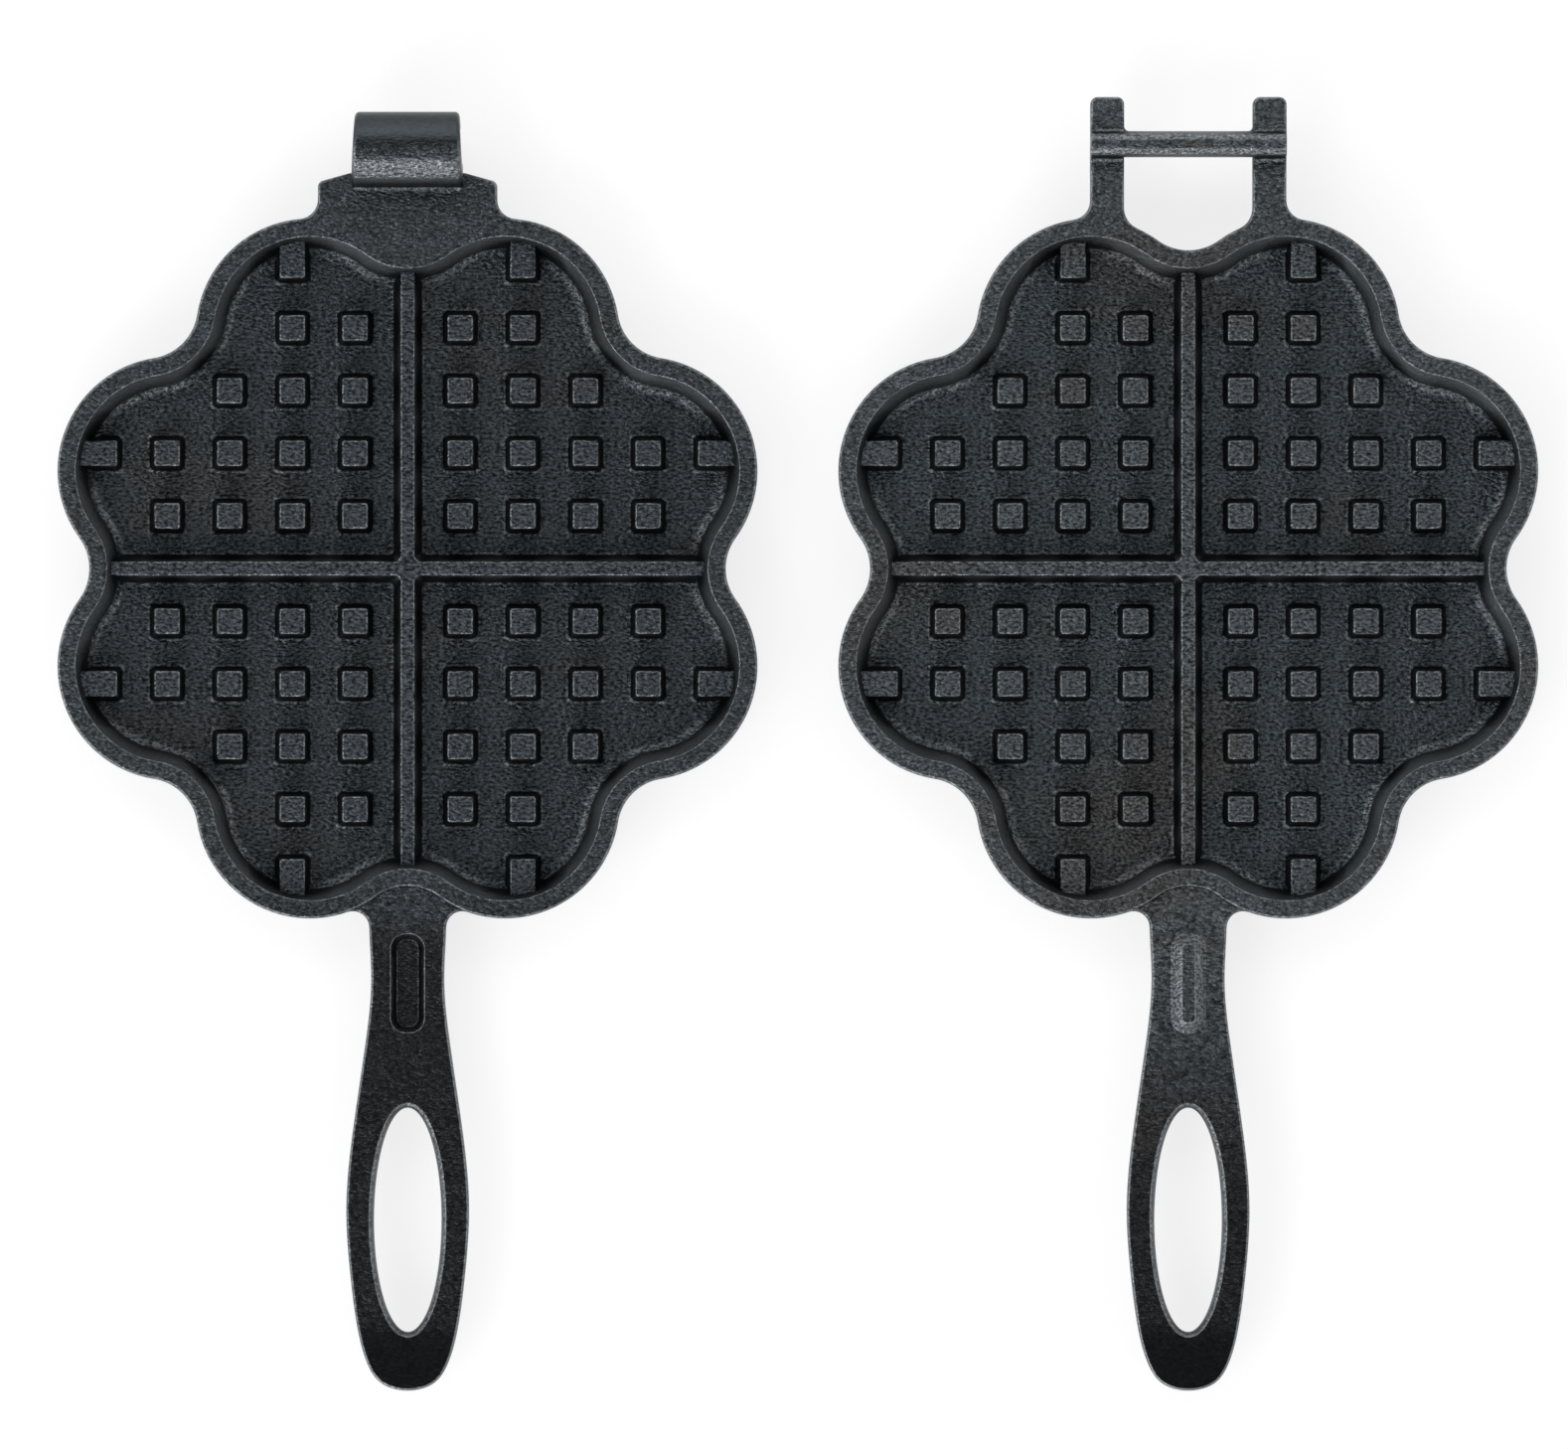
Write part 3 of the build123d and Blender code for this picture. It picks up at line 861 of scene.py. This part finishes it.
@dataclass(frozen=True)
class BarEnd:
    """The bar half's two prongs and the bar between them."""

    plate: Plate
    hinge: Hinge
    inner: float = 19.6
    outer: float = 29.9
    depth: float = 8.0
    tip_reach: float = 143.6
    tip_rise: float = 2.2
    tip_depth: float = 5.8
    tip_corner_radius: float = 2.2
    root_outer_radius: float = 6.0
    root_inner_radius: float = 7.0
    root_insets: tuple[float, float] = (1.0, 2.0)
    edge_radius: float = 1.0
    collar_radius: float = 2.0
    collar_sweep: float = 82.0
    collar_insets: tuple[float, float] = (0.4, 1.2)
    collar_fade: float = 1.6
    bar_end_radius: float = 0.7
    saddle_foot_radius: float = 1.8
    saddle_run: float = 3.0
    saddle_depth: float = 1.0

    def arm(self) -> Shell:
        """Makes the right prong's arm, flared into its lobe on both sides.

        Returns:
            The closed surface.
        """
        outside = self.plate.flare(self.outer, self.root_outer_radius, Side.RIGHT, 1)
        inside = self.plate.flare(self.inner, self.root_inner_radius, Side.LEFT, 1)
        start, past = self.plate.notch_reach, self.hinge.bar_reach
        outline = Outline.through(
            [(inside[0, 0] + self.root_insets[0], start), (outside[0, 0] - self.root_insets[1], start)],
            outside,
            [(self.outer, past), (self.inner, past)],
            inside[::-1],
        )
        return outline.solid(slab(-self.depth, 0, self.edge_radius))

    def tip(self) -> Shell:
        """Makes the right prong's raised tip, past the bar.

        Returns:
            The closed surface.
        """
        start = self.hinge.bar_reach - self.hinge.bar_radius / 2
        corners = rounded_line(
            [
                (self.inner, start, 0),
                (self.outer, start, 0),
                (self.outer, self.tip_reach, self.tip_corner_radius),
                (self.inner, self.tip_reach, self.tip_corner_radius),
                (self.inner, start, 0),
            ]
        )
        return Outline.through(corners).solid(slab(-self.tip_depth, self.tip_rise, self.edge_radius))

    def saddle(self) -> Shell:
        """Makes the right prong's saddle: the bar's upper side with a hollow foot before and behind it.

        Returns:
            The closed surface.
        """
        hinge = self.hinge
        axis = np.array([hinge.bar_reach, hinge.bar_rise])
        near, far = (
            hollow_foot(axis, hinge.bar_radius, level, self.saddle_foot_radius, way)
            for level, way in ((0, -1), (self.tip_rise, 1))
        )
        before, past = near[0, 0] - self.saddle_run, far[0, 0] + self.saddle_run
        drop = self.saddle_run * SLOPE
        low = -drop - self.saddle_depth
        outline = Outline.through(
            [(before, low), (past, low), (past, self.tip_rise - drop)],
            far,
            arc(axis, hinge.bar_radius, direction(far[-1] - axis), direction(near[-1] - axis), steps=20),
            near[::-1],
            [(before, -drop)],
        )
        middle = (self.inner + self.outer) / 2
        saddle = across(outline, (self.outer - self.inner) / 2, self.edge_radius / 2)
        return saddle.mapped(lambda points: points + (middle, 0, 0))

    def bar(self) -> Shell:
        """Makes the bar: circles about its axis that swell at the prongs and round off at the bar's ends.

        A point's radius is the bar's, plus the collar's hollow flare times a weight that fades from 1 below a
        prong's top to 0 above it, so that the flare dies out where the bar rides over the prong. Inside the
        prong the flare narrows to the bar again.

        Returns:
            The closed surface.
        """
        radius, collar, corner = self.hinge.bar_radius, self.collar_radius, self.bar_end_radius
        flare = arc(np.array([self.inner - collar, collar]), collar, -90, self.collar_sweep - 90, steps=8)
        inside = [(self.inner + self.collar_insets[0], flare[-1, 1]), (self.inner + self.collar_insets[1], 0)]
        end = arc(np.array([self.outer - corner, -corner]), corner, 90, 0, steps=4)
        right = np.vstack([(0, 0), flare, inside, end, (self.outer, -radius / 2)])
        stations = np.vstack([(right * (-1, 1))[::-1], right[1:]])
        angles = np.linspace(0, 2 * math.pi, 48, endpoint=False)
        top = np.where(np.cos(angles) > 0, self.tip_rise, 0.0) - self.hinge.bar_rise
        weight = np.clip((top - self.edge_radius - radius * np.sin(angles)) / self.collar_fade + 0.5, 0, 1)
        swell = stations[:, 1:]
        reach = radius + np.where(swell > 0, swell * weight, swell)
        loops = np.stack(
            [
                np.broadcast_to(stations[:, :1], reach.shape),
                self.hinge.bar_reach + reach * np.cos(angles),
                self.hinge.bar_rise + reach * np.sin(angles),
            ],
            axis=-1,
        )
        return Shell.stacked(loops)


def srgb(hex_colour: str) -> tuple[float, float, float, float]:
    """Turns an sRGB hex value into Blender's linear colour.

    Args:
        hex_colour: The colour as "#rrggbb".

    Returns:
        Linear red, green and blue, and an alpha of 1.
    """
    values = np.array([int(hex_colour[i : i + 2], 16) for i in (1, 3, 5)]) / 255
    linear = np.where(values <= 0.04045, values / 12.92, ((values + 0.055) / 1.055) ** 2.4)
    return (*(float(v) for v in linear), 1.0)


def add_node(tree: bpy.types.NodeTree, kind: str, inputs: dict | None = None, **settings) -> bpy.types.Node:
    """Adds a node with its settings and links.

    Args:
        tree: The tree that the node goes into.
        kind: The node's type name.
        inputs: Values and sockets by the name or number of the input that they go to; a socket is linked.
        settings: The node's own attributes.

    Returns:
        The node.
    """
    node = tree.nodes.new(kind)
    for name, value in settings.items():
        setattr(node, name, value)
    for name, value in (inputs or {}).items():
        if isinstance(value, bpy.types.NodeSocket):
            tree.links.new(value, node.inputs[name])
        else:
            node.inputs[name].default_value = value
    return node


@dataclass(frozen=True)
class SeasonedIron:
    """Sand-cast iron with a baked-on film of oil: near black, with a satin gloss over the sand's grain.

    The film is a hard polymer on dark oxide, so it reflects like a dull, dark metal and has hardly any
    colour of its own: what faces a dark ceiling looks black, and every round edge catches the light. The
    mould's grit leaves bumps of about half a millimetre, drawn a little coarser and longer across than along,
    so that they show, and a slow swell lies under them. Faces are greyer the higher they lie. Round edges in
    the open are lighter grey, partly worn to bare metal and partly a painted highlight. Handling polishes the
    grips. The steep sides draw out of the mould smooth, and steep faces in corners carry a painted shade.
    """

    name: str = "seasoned_cast_iron"
    floor: str = "#33383b"
    # faces grow greyer with height, from the pockets' floor up to the rim
    raised: str = "#3a3e41"
    rim: str = "#414548"
    # lighter grey on open round edges and fillets: partly wear to bare metal, partly a painted highlight
    wear_and_highlight: str = "#6d7174"
    rust: str = "#3d342d"
    grip: str = "#27282a"
    # painted shade: the dark colour laid on steep faces where ambient occlusion finds a corner
    painted_corner_shade: str = "#17191b"
    rust_amount: float = 0.25
    wear_and_highlight_strength: float = 0.75
    speckle: float = 0.75
    roughness: float = 0.38
    grain_mm: float = 0.8
    grain_curl: float = 0.1
    clump_mm: float = 1.7
    swell_mm: float = 9.0
    rust_mm: float = 45.0
    stretch: tuple[float, float, float] = (0.6, 1.0, 1.0)
    noise_roughness: float = 0.55
    grain_height_mm: float = 1.0
    clump_height_mm: float = 0.7
    swell_height_mm: float = 0.8
    smooth_share: float = 0.15
    rim_smoothness: float = 0.35
    grip_smoothness: float = 0.5
    polish: float = 0.85
    corner_mm: float = 9.0
    floor_depth_mm: tuple[float, float] = (-5.5, -2.2)
    rim_depth_mm: tuple[float, float] = (-1.6, -0.5)
    grip_mm: tuple[float, float] = (-104.0, -130.0)
    polish_mm: tuple[float, float] = (-215.0, -240.0)
    back_mm: tuple[float, float] = (145.0, 150.0)
    steep: tuple[float, float] = (0.72, 0.57)
    round_edge: tuple[float, float] = (0.985, 0.9)
    corner: tuple[float, float] = (0.985, 0.85)
    rust_patch: tuple[float, float] = (0.52, 0.72)
    grain_span: tuple[float, float] = (0.35, 0.65)

    def material(self, origin: Vector) -> bpy.types.Material:
        """Makes the material.

        Args:
            origin: Where the plate's centre is at the height of the rim, in metres.

        Returns:
            The material.
        """
        material = bpy.data.materials.new(self.name)
        material.use_nodes = True
        tree = material.node_tree
        shader = tree.nodes["Principled BSDF"]
        space = add_node(tree, "ShaderNodeTexCoord").outputs
        place = add_node(tree, "ShaderNodeSeparateXYZ", {0: space["Object"]}).outputs
        normal = add_node(tree, "ShaderNodeSeparateXYZ", {0: space["Normal"]}).outputs
        upright = add_node(tree, "ShaderNodeMath", {0: normal["Z"]}, operation="ABSOLUTE").outputs[0]
        sky = add_node(
            tree, "ShaderNodeAmbientOcclusion", {"Distance": self.corner_mm * MM}, samples=8, only_local=True
        ).outputs["AO"]
        drawn_out = add_node(
            tree, "ShaderNodeVectorMath", {0: space["Object"], 1: self.stretch}, operation="MULTIPLY"
        ).outputs[0]
        # The sand's grit and clumps, the slow swell under them, and patches of rust.
        grain, clump, swell, rust = (
            add_node(
                tree,
                "ShaderNodeTexNoise",
                {
                    "Vector": drawn_out,
                    "Scale": 1 / (size * MM),
                    "Detail": detail,
                    "Roughness": self.noise_roughness,
                    "Distortion": curl,
                },
            ).outputs["Fac"]
            for size, detail, curl in (
                (self.grain_mm, 2, self.grain_curl),
                (self.clump_mm, 2, 0),
                (self.swell_mm, 1, 0),
                (self.rust_mm, 3, 0),
            )
        )
        # How far a point is inside each zone of the casting, from 0 to 1.
        high, topmost, gripped, polished, back, steep, rounded, corner, rusty = (
            add_node(
                tree,
                "ShaderNodeMapRange",
                {"Value": source, "From Min": base + edges[0] * unit, "From Max": base + edges[1] * unit},
                interpolation_type="SMOOTHSTEP",
            ).outputs[0]
            for source, base, unit, edges in (
                (place["Z"], origin.z, MM, self.floor_depth_mm),
                (place["Z"], origin.z, MM, self.rim_depth_mm),
                (place["Y"], origin.y, MM, self.grip_mm),
                (place["Y"], origin.y, MM, self.polish_mm),
                (place["Y"], origin.y, MM, self.back_mm),
                (upright, 0, 1, self.steep),
                (upright, 0, 1, self.round_edge),
                (sky, 0, 1, self.corner),
                (rust, 0, 1, self.rust_patch),
            )
        )
        # Open round edges and fillets are lightened: partly wear to bare metal, partly a painted highlight.
        open_edge = add_node(
            tree, "ShaderNodeMapRange", {"Value": corner, "To Min": self.wear_and_highlight_strength, "To Max": 0.0}
        ).outputs[0]
        # Painted shade: steep faces that ambient occlusion finds in a corner are darkened.
        corner_shade_mask, wear_and_highlight, stained = (
            add_node(tree, "ShaderNodeMath", {0: one, 1: other}, operation="MULTIPLY").outputs[0]
            for one, other in ((steep, corner), (rounded, open_edge), (rusty, self.rust_amount))
        )
        wear_and_highlight = add_node(tree, "ShaderNodeMix", {0: back, 2: wear_and_highlight, 3: 0.0}).outputs[0]
        # Each zone's colour lies over those before it.
        colour = srgb(self.floor)
        for amount, shade in (
            (high, self.raised),
            (topmost, self.rim),
            (gripped, self.grip),
            (stained, self.rust),
            (wear_and_highlight, self.wear_and_highlight),
            (corner_shade_mask, self.painted_corner_shade),
        ):
            layers = add_node(tree, "ShaderNodeMix", {0: amount, 6: colour, 7: srgb(shade)}, data_type="RGBA")
            colour = layers.outputs[2]
        # How far the grit is worn or drawn off.
        smooth = 0.0
        for amount, share in (
            (topmost, self.rim_smoothness),
            (gripped, self.grip_smoothness),
            (steep, 1.0),
            (polished, self.polish),
            (back, 1.0),
        ):
            rubbed = add_node(tree, "ShaderNodeMath", {0: amount, 1: share}, operation="MULTIPLY").outputs[0]
            smooth = add_node(tree, "ShaderNodeMath", {0: smooth, 1: rubbed}, operation="MAXIMUM").outputs[0]
        rough = add_node(
            tree, "ShaderNodeMapRange", {"Value": smooth, "To Min": 1.0, "To Max": self.smooth_share}
        ).outputs[0]
        grit = add_node(
            tree,
            "ShaderNodeMapRange",
            {
                "Value": grain,
                "From Min": self.grain_span[0],
                "From Max": self.grain_span[1],
                "To Min": -self.speckle,
                "To Max": self.speckle,
            },
        ).outputs[0]
        shade = add_node(
            tree, "ShaderNodeMath", {0: grit, 1: rough, 2: 1.0}, operation="MULTIPLY_ADD"
        ).outputs[0]
        speckled = add_node(tree, "ShaderNodeVectorMath", {0: colour, 3: shade}, operation="SCALE").outputs[0]
        height = 0.0
        for source, amount in (
            (grain, self.grain_height_mm),
            (clump, self.clump_height_mm),
            (swell, self.swell_height_mm),
        ):
            height = add_node(
                tree, "ShaderNodeMath", {0: source, 1: amount * MM, 2: height}, operation="MULTIPLY_ADD"
            ).outputs[0]
        bump = add_node(tree, "ShaderNodeBump", {"Height": height, "Strength": rough, "Distance": 1.0})
        shader.inputs["Metallic"].default_value = 1.0
        shader.inputs["Roughness"].default_value = self.roughness
        tree.links.new(speckled, shader.inputs["Base Color"])
        tree.links.new(bump.outputs[0], shader.inputs["Normal"])
        return material


@dataclass
class Casting:
    """One half of the iron: the plate and handle that both halves share, and its own hinge end and key."""

    name: str
    node: str
    finish: SeasonedIron
    plate: Plate = field(default_factory=Plate)
    hinge: Hinge = field(default_factory=Hinge)

    @property
    def handle(self) -> Handle:
        """The handle, which grows out of the plate."""
        return Handle(self.plate)

    @property
    def key(self) -> Key:
        """The key on the handle's face."""
        return Key(self.handle)

    def own_parts(self) -> tuple[list[Shell], list[tuple[Operation, Shell]]]:
        """Returns what is joined before the pockets are cut, and what is done to the casting after."""
        raise NotImplementedError

    def origin(self) -> Vector:
        """Works out where the plate's centre and rim are, from the box of the part that the half replaces.

        Returns:
            The place in the frame, in metres.
        """
        low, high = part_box(self.node)
        rim = low.z + (self.plate.thickness + self.plate.ring_height) * MM
        return Vector(((low.x + high.x) / 2, low.y + self.handle.end * MM, rim))

    def build(self) -> bpy.types.Object:
        """Joins and cuts all shapes into one mesh, puts it in its place and dresses it.

        Returns:
            The finished piece.
        """
        early, late = self.own_parts()
        steps = [(Operation.JOIN, shell) for shell in (self.handle.bar(), *early)]
        steps += [(Operation.CUT, self.plate.pocket()), (Operation.CUT, self.handle.hole())]
        steps += [(Operation.JOIN, self.plate.dividers()), (Operation.JOIN, self.plate.studs())]
        base = self.plate.blank().to_object(f"{self.name}_blank")
        tools = []
        for number, (operation, shell) in enumerate(steps + late):
            tool = shell.to_object(f"{self.name}_tool_{number}")
            modifier = base.modifiers.new(tool.name, "BOOLEAN")
            modifier.operation, modifier.object, modifier.solver = operation.value, tool, "MANIFOLD"
            tools.append(tool)
        graph = bpy.context.evaluated_depsgraph_get()
        mesh = bpy.data.meshes.new_from_object(base.evaluated_get(graph))
        for spare in (base, *tools):
            bpy.data.objects.remove(spare)
        mesh.name = self.name
        piece = add_object(self.name, mesh)
        self.clean(mesh)
        self.dress(piece)
        return piece

    def clean(self, mesh: bpy.types.Mesh) -> None:
        """Merges doubles, puts the mesh in its place in metres and shades it smooth up to a sharp angle.

        Args:
            mesh: The joined and cut mesh, in millimetres.
        """
        work = bmesh.new()
        work.from_mesh(mesh)
        bmesh.ops.remove_doubles(work, verts=work.verts, dist=WELD)
        bmesh.ops.dissolve_degenerate(work, edges=work.edges, dist=WELD)
        work.to_mesh(mesh)
        work.free()
        points = np.empty(len(mesh.vertices) * 3)
        mesh.vertices.foreach_get("co", points)
        placed = points.reshape(-1, 3) * MM + np.array(self.origin())
        mesh.vertices.foreach_set("co", placed.ravel())
        mesh.shade_smooth()
        mesh.set_sharp_from_angle(angle=SHARP_ANGLE)
        mesh.update()

    def dress(self, piece: bpy.types.Object) -> None:
        """Gives the piece its finish and its place among the frame's bodies.

        Args:
            piece: The half's object.
        """
        weighted = piece.modifiers.new("face_weighted_normals", "WEIGHTED_NORMAL")
        weighted.keep_sharp = True
        weighted.weight = WIDE_FACES_LEAD
        piece.data.materials.clear()
        piece.data.materials.append(self.finish.material(self.origin()))
        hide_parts(self.node)
        body = next(b for b, nodes in frame["record"]["behaviour"]["bodies"].items() if self.node in nodes)
        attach(piece, body)


class HookHalf(Casting):
    """The half with the hook, and the slot in its handle."""

    def own_parts(self) -> tuple[list[Shell], list[tuple[Operation, Shell]]]:
        """Returns the shoulder and the hook, and the slot to cut."""
        end = HookEnd(self.plate, self.hinge)
        return [end.shoulder(), end.hook()], [(Operation.CUT, self.key.slot())]


class BarHalf(Casting):
    """The half with the bar between two prongs, and the rib on its handle."""

    def own_parts(self) -> tuple[list[Shell], list[tuple[Operation, Shell]]]:
        """Makes the half's own shapes.

        Returns:
            The prongs and the bar, and the rib to join.
        """
        end = BarEnd(self.plate, self.hinge)
        prongs = [shape.mirrored(side) for side in Side for shape in (end.arm(), end.tip(), end.saddle())]
        return [*prongs, end.bar()], [(Operation.JOIN, self.key.rib())]


@dataclass(frozen=True)
class SoftLamp:
    """A rectangular studio softbox that faces a point on the object."""

    name: str
    place: tuple[float, float, float]
    width: float
    height: float
    power: float
    aim: tuple[float, float, float] = (0.0, 0.02, 0.01)

    def build(self) -> None:
        """Adds the lamp to the scene."""
        data = bpy.data.lights.new(self.name, "AREA")
        data.shape, data.size, data.size_y, data.energy = "RECTANGLE", self.width, self.height, self.power
        lamp = add_object(self.name, data)
        lamp.location = self.place
        lamp.rotation_euler = (Vector(self.aim) - Vector(self.place)).to_track_quat("-Z", "Y").to_euler()


@dataclass(frozen=True)
class Studio:
    """Plain white floor, soft lamps, and a camera straight above on a long lens."""

    mm_per_pixel: float = 0.3028
    camera_height: float = 5.0
    sensor: float = 36.0
    centre_pixel: tuple[float, float] = (410, 572)
    floor_size: float = 6.0
    floor_colour: str = "#f2f2f2"
    floor_roughness: float = 0.9
    floor_glow: float = 0.75
    front_light: float = 2.1
    back_light: float = 1.7
    ceiling_light: float = 0.08
    ceiling_edge: tuple[float, float] = (0.62, 0.88)
    backdrop: float = 0.95
    facing: tuple[float, float, float] = (-0.8, -0.6, 0.0)
    lamps: tuple[SoftLamp, ...] = (
        SoftLamp("front_left_softbox", (-1.1, -1.6, 0.95), 1.5, 0.9, 26),
        SoftLamp("back_strip", (-0.6, 1.8, 1.6), 2.4, 0.8, 8),
    )

    def camera(self, plate_centre: Vector) -> None:
        """Adds the camera, which sees the hook half's plate centre at its pixel.

        Args:
            plate_centre: Where that centre is in the frame.
        """
        data = bpy.data.cameras.new("camera")
        data.sensor_width = self.sensor
        distance = self.camera_height - plate_centre.z
        data.lens = self.sensor * distance / (IMAGE_WIDTH * self.mm_per_pixel * MM)
        data.clip_end = 4 * self.camera_height
        camera = add_object("camera", data)
        right, down = np.array([IMAGE_WIDTH / 2, IMAGE_HEIGHT / 2]) - self.centre_pixel
        scale = self.mm_per_pixel * MM
        camera.location = (plate_centre.x + right * scale, plate_centre.y - down * scale, self.camera_height)
        bpy.context.scene.camera = camera

    def floor(self) -> None:
        """Adds the floor, which the camera sees as white while it still takes the object's shadow.

        It is matt white paper: with no gloss and no grain, all that the eye finds on it is the soft shadow.
        """
        half, low = self.floor_size / 2, CAD_BOUNDS[0][2]
        corners = [(x * half, y * half, low) for x, y in ((-1, -1), (1, -1), (1, 1), (-1, 1))]
        mesh = bpy.data.meshes.new("floor")
        mesh.from_pydata(corners, [], [(0, 1, 2, 3)])
        floor = add_object("floor", mesh)
        material = bpy.data.materials.new("white_paper")
        material.use_nodes = True
        tree = material.node_tree
        shader = tree.nodes["Principled BSDF"]
        shader.inputs["Base Color"].default_value = srgb(self.floor_colour)
        shader.inputs["Roughness"].default_value = self.floor_roughness
        rays = add_node(tree, "ShaderNodeLightPath").outputs
        seen = add_node(
            tree, "ShaderNodeMath", {0: rays["Is Camera Ray"], 1: rays["Is Glossy Ray"]}, operation="MAXIMUM"
        ).outputs[0]
        share = add_node(
            tree, "ShaderNodeMath", {0: seen, 1: self.floor_glow}, operation="MULTIPLY"
        ).outputs[0]
        glow = add_node(tree, "ShaderNodeEmission", {"Color": (1, 1, 1, 1), "Strength": 1.0}).outputs[0]
        mixed = add_node(tree, "ShaderNodeMixShader", {0: share, 1: shader.outputs[0], 2: glow}).outputs[0]
        tree.links.new(mixed, tree.nodes["Material Output"].inputs["Surface"])
        mesh.materials.append(material)

    def world(self) -> None:
        """Sets a light tent: walls that glow, most towards the front left, and a darker ceiling."""
        world = bpy.data.worlds.new("light_tent")
        bpy.context.scene.world = world
        world.use_nodes = True
        tree = world.node_tree
        way = add_node(tree, "ShaderNodeTexCoord").outputs["Generated"]
        height = add_node(tree, "ShaderNodeSeparateXYZ", {0: way}).outputs["Z"]
        low, high = self.ceiling_edge
        ceiling = add_node(
            tree,
            "ShaderNodeMapRange",
            {"Value": height, "From Min": low, "From Max": high},
            interpolation_type="SMOOTHSTEP",
        ).outputs[0]
        facing = add_node(
            tree, "ShaderNodeVectorMath", {0: way, 1: self.facing}, operation="DOT_PRODUCT"
        ).outputs["Value"]
        walls = add_node(
            tree,
            "ShaderNodeMapRange",
            {"Value": facing, "From Min": -1.0, "To Min": self.back_light, "To Max": self.front_light},
        ).outputs[0]
        light = add_node(tree, "ShaderNodeMix", {0: ceiling, 2: walls, 3: self.ceiling_light}).outputs[0]
        seen = add_node(tree, "ShaderNodeLightPath").outputs["Is Camera Ray"]
        strength = add_node(tree, "ShaderNodeMix", {0: seen, 2: light, 3: self.backdrop}).outputs[0]
        background = tree.nodes["Background"].inputs
        background["Color"].default_value = (1, 1, 1, 1)
        tree.links.new(strength, background["Strength"])

    def build(self, plate_centre: Vector) -> None:
        """Adds the whole studio.

        Args:
            plate_centre: Where the hook half's plate centre is in the frame.
        """
        self.camera(plate_centre)
        self.floor()
        self.world()
        for lamp in self.lamps:
            lamp.build()
        bpy.context.scene.view_settings.view_transform = "Standard"


def main() -> None:
    """Builds both castings and the studio."""
    logging.basicConfig(level=logging.INFO, format="%(name)s: %(message)s")
    halves = [
        HookHalf(
            "hook_half_casting",
            "hook_half",
            SeasonedIron(
                "seasoned_cast_iron_hook_half",
                floor="#2e3235",
                raised="#32363a",
                rim="#383c3f",
                rust_amount=0.15,
                grip_mm=(-88.0, -122.0),
                back_mm=(125.0, 131.0),
            ),
        ),
        BarHalf(
            "bar_half_casting",
            "bar_half",
            SeasonedIron("seasoned_cast_iron_bar_half", rust_amount=0.35, grip_mm=(-95.0, -200.0)),
        ),
    ]
    for half in halves:
        piece = half.build()
        log.info("%s: %d faces", piece.name, len(piece.data.polygons))
    Studio().build(halves[0].origin())


if __name__ == "__main__":
    main()
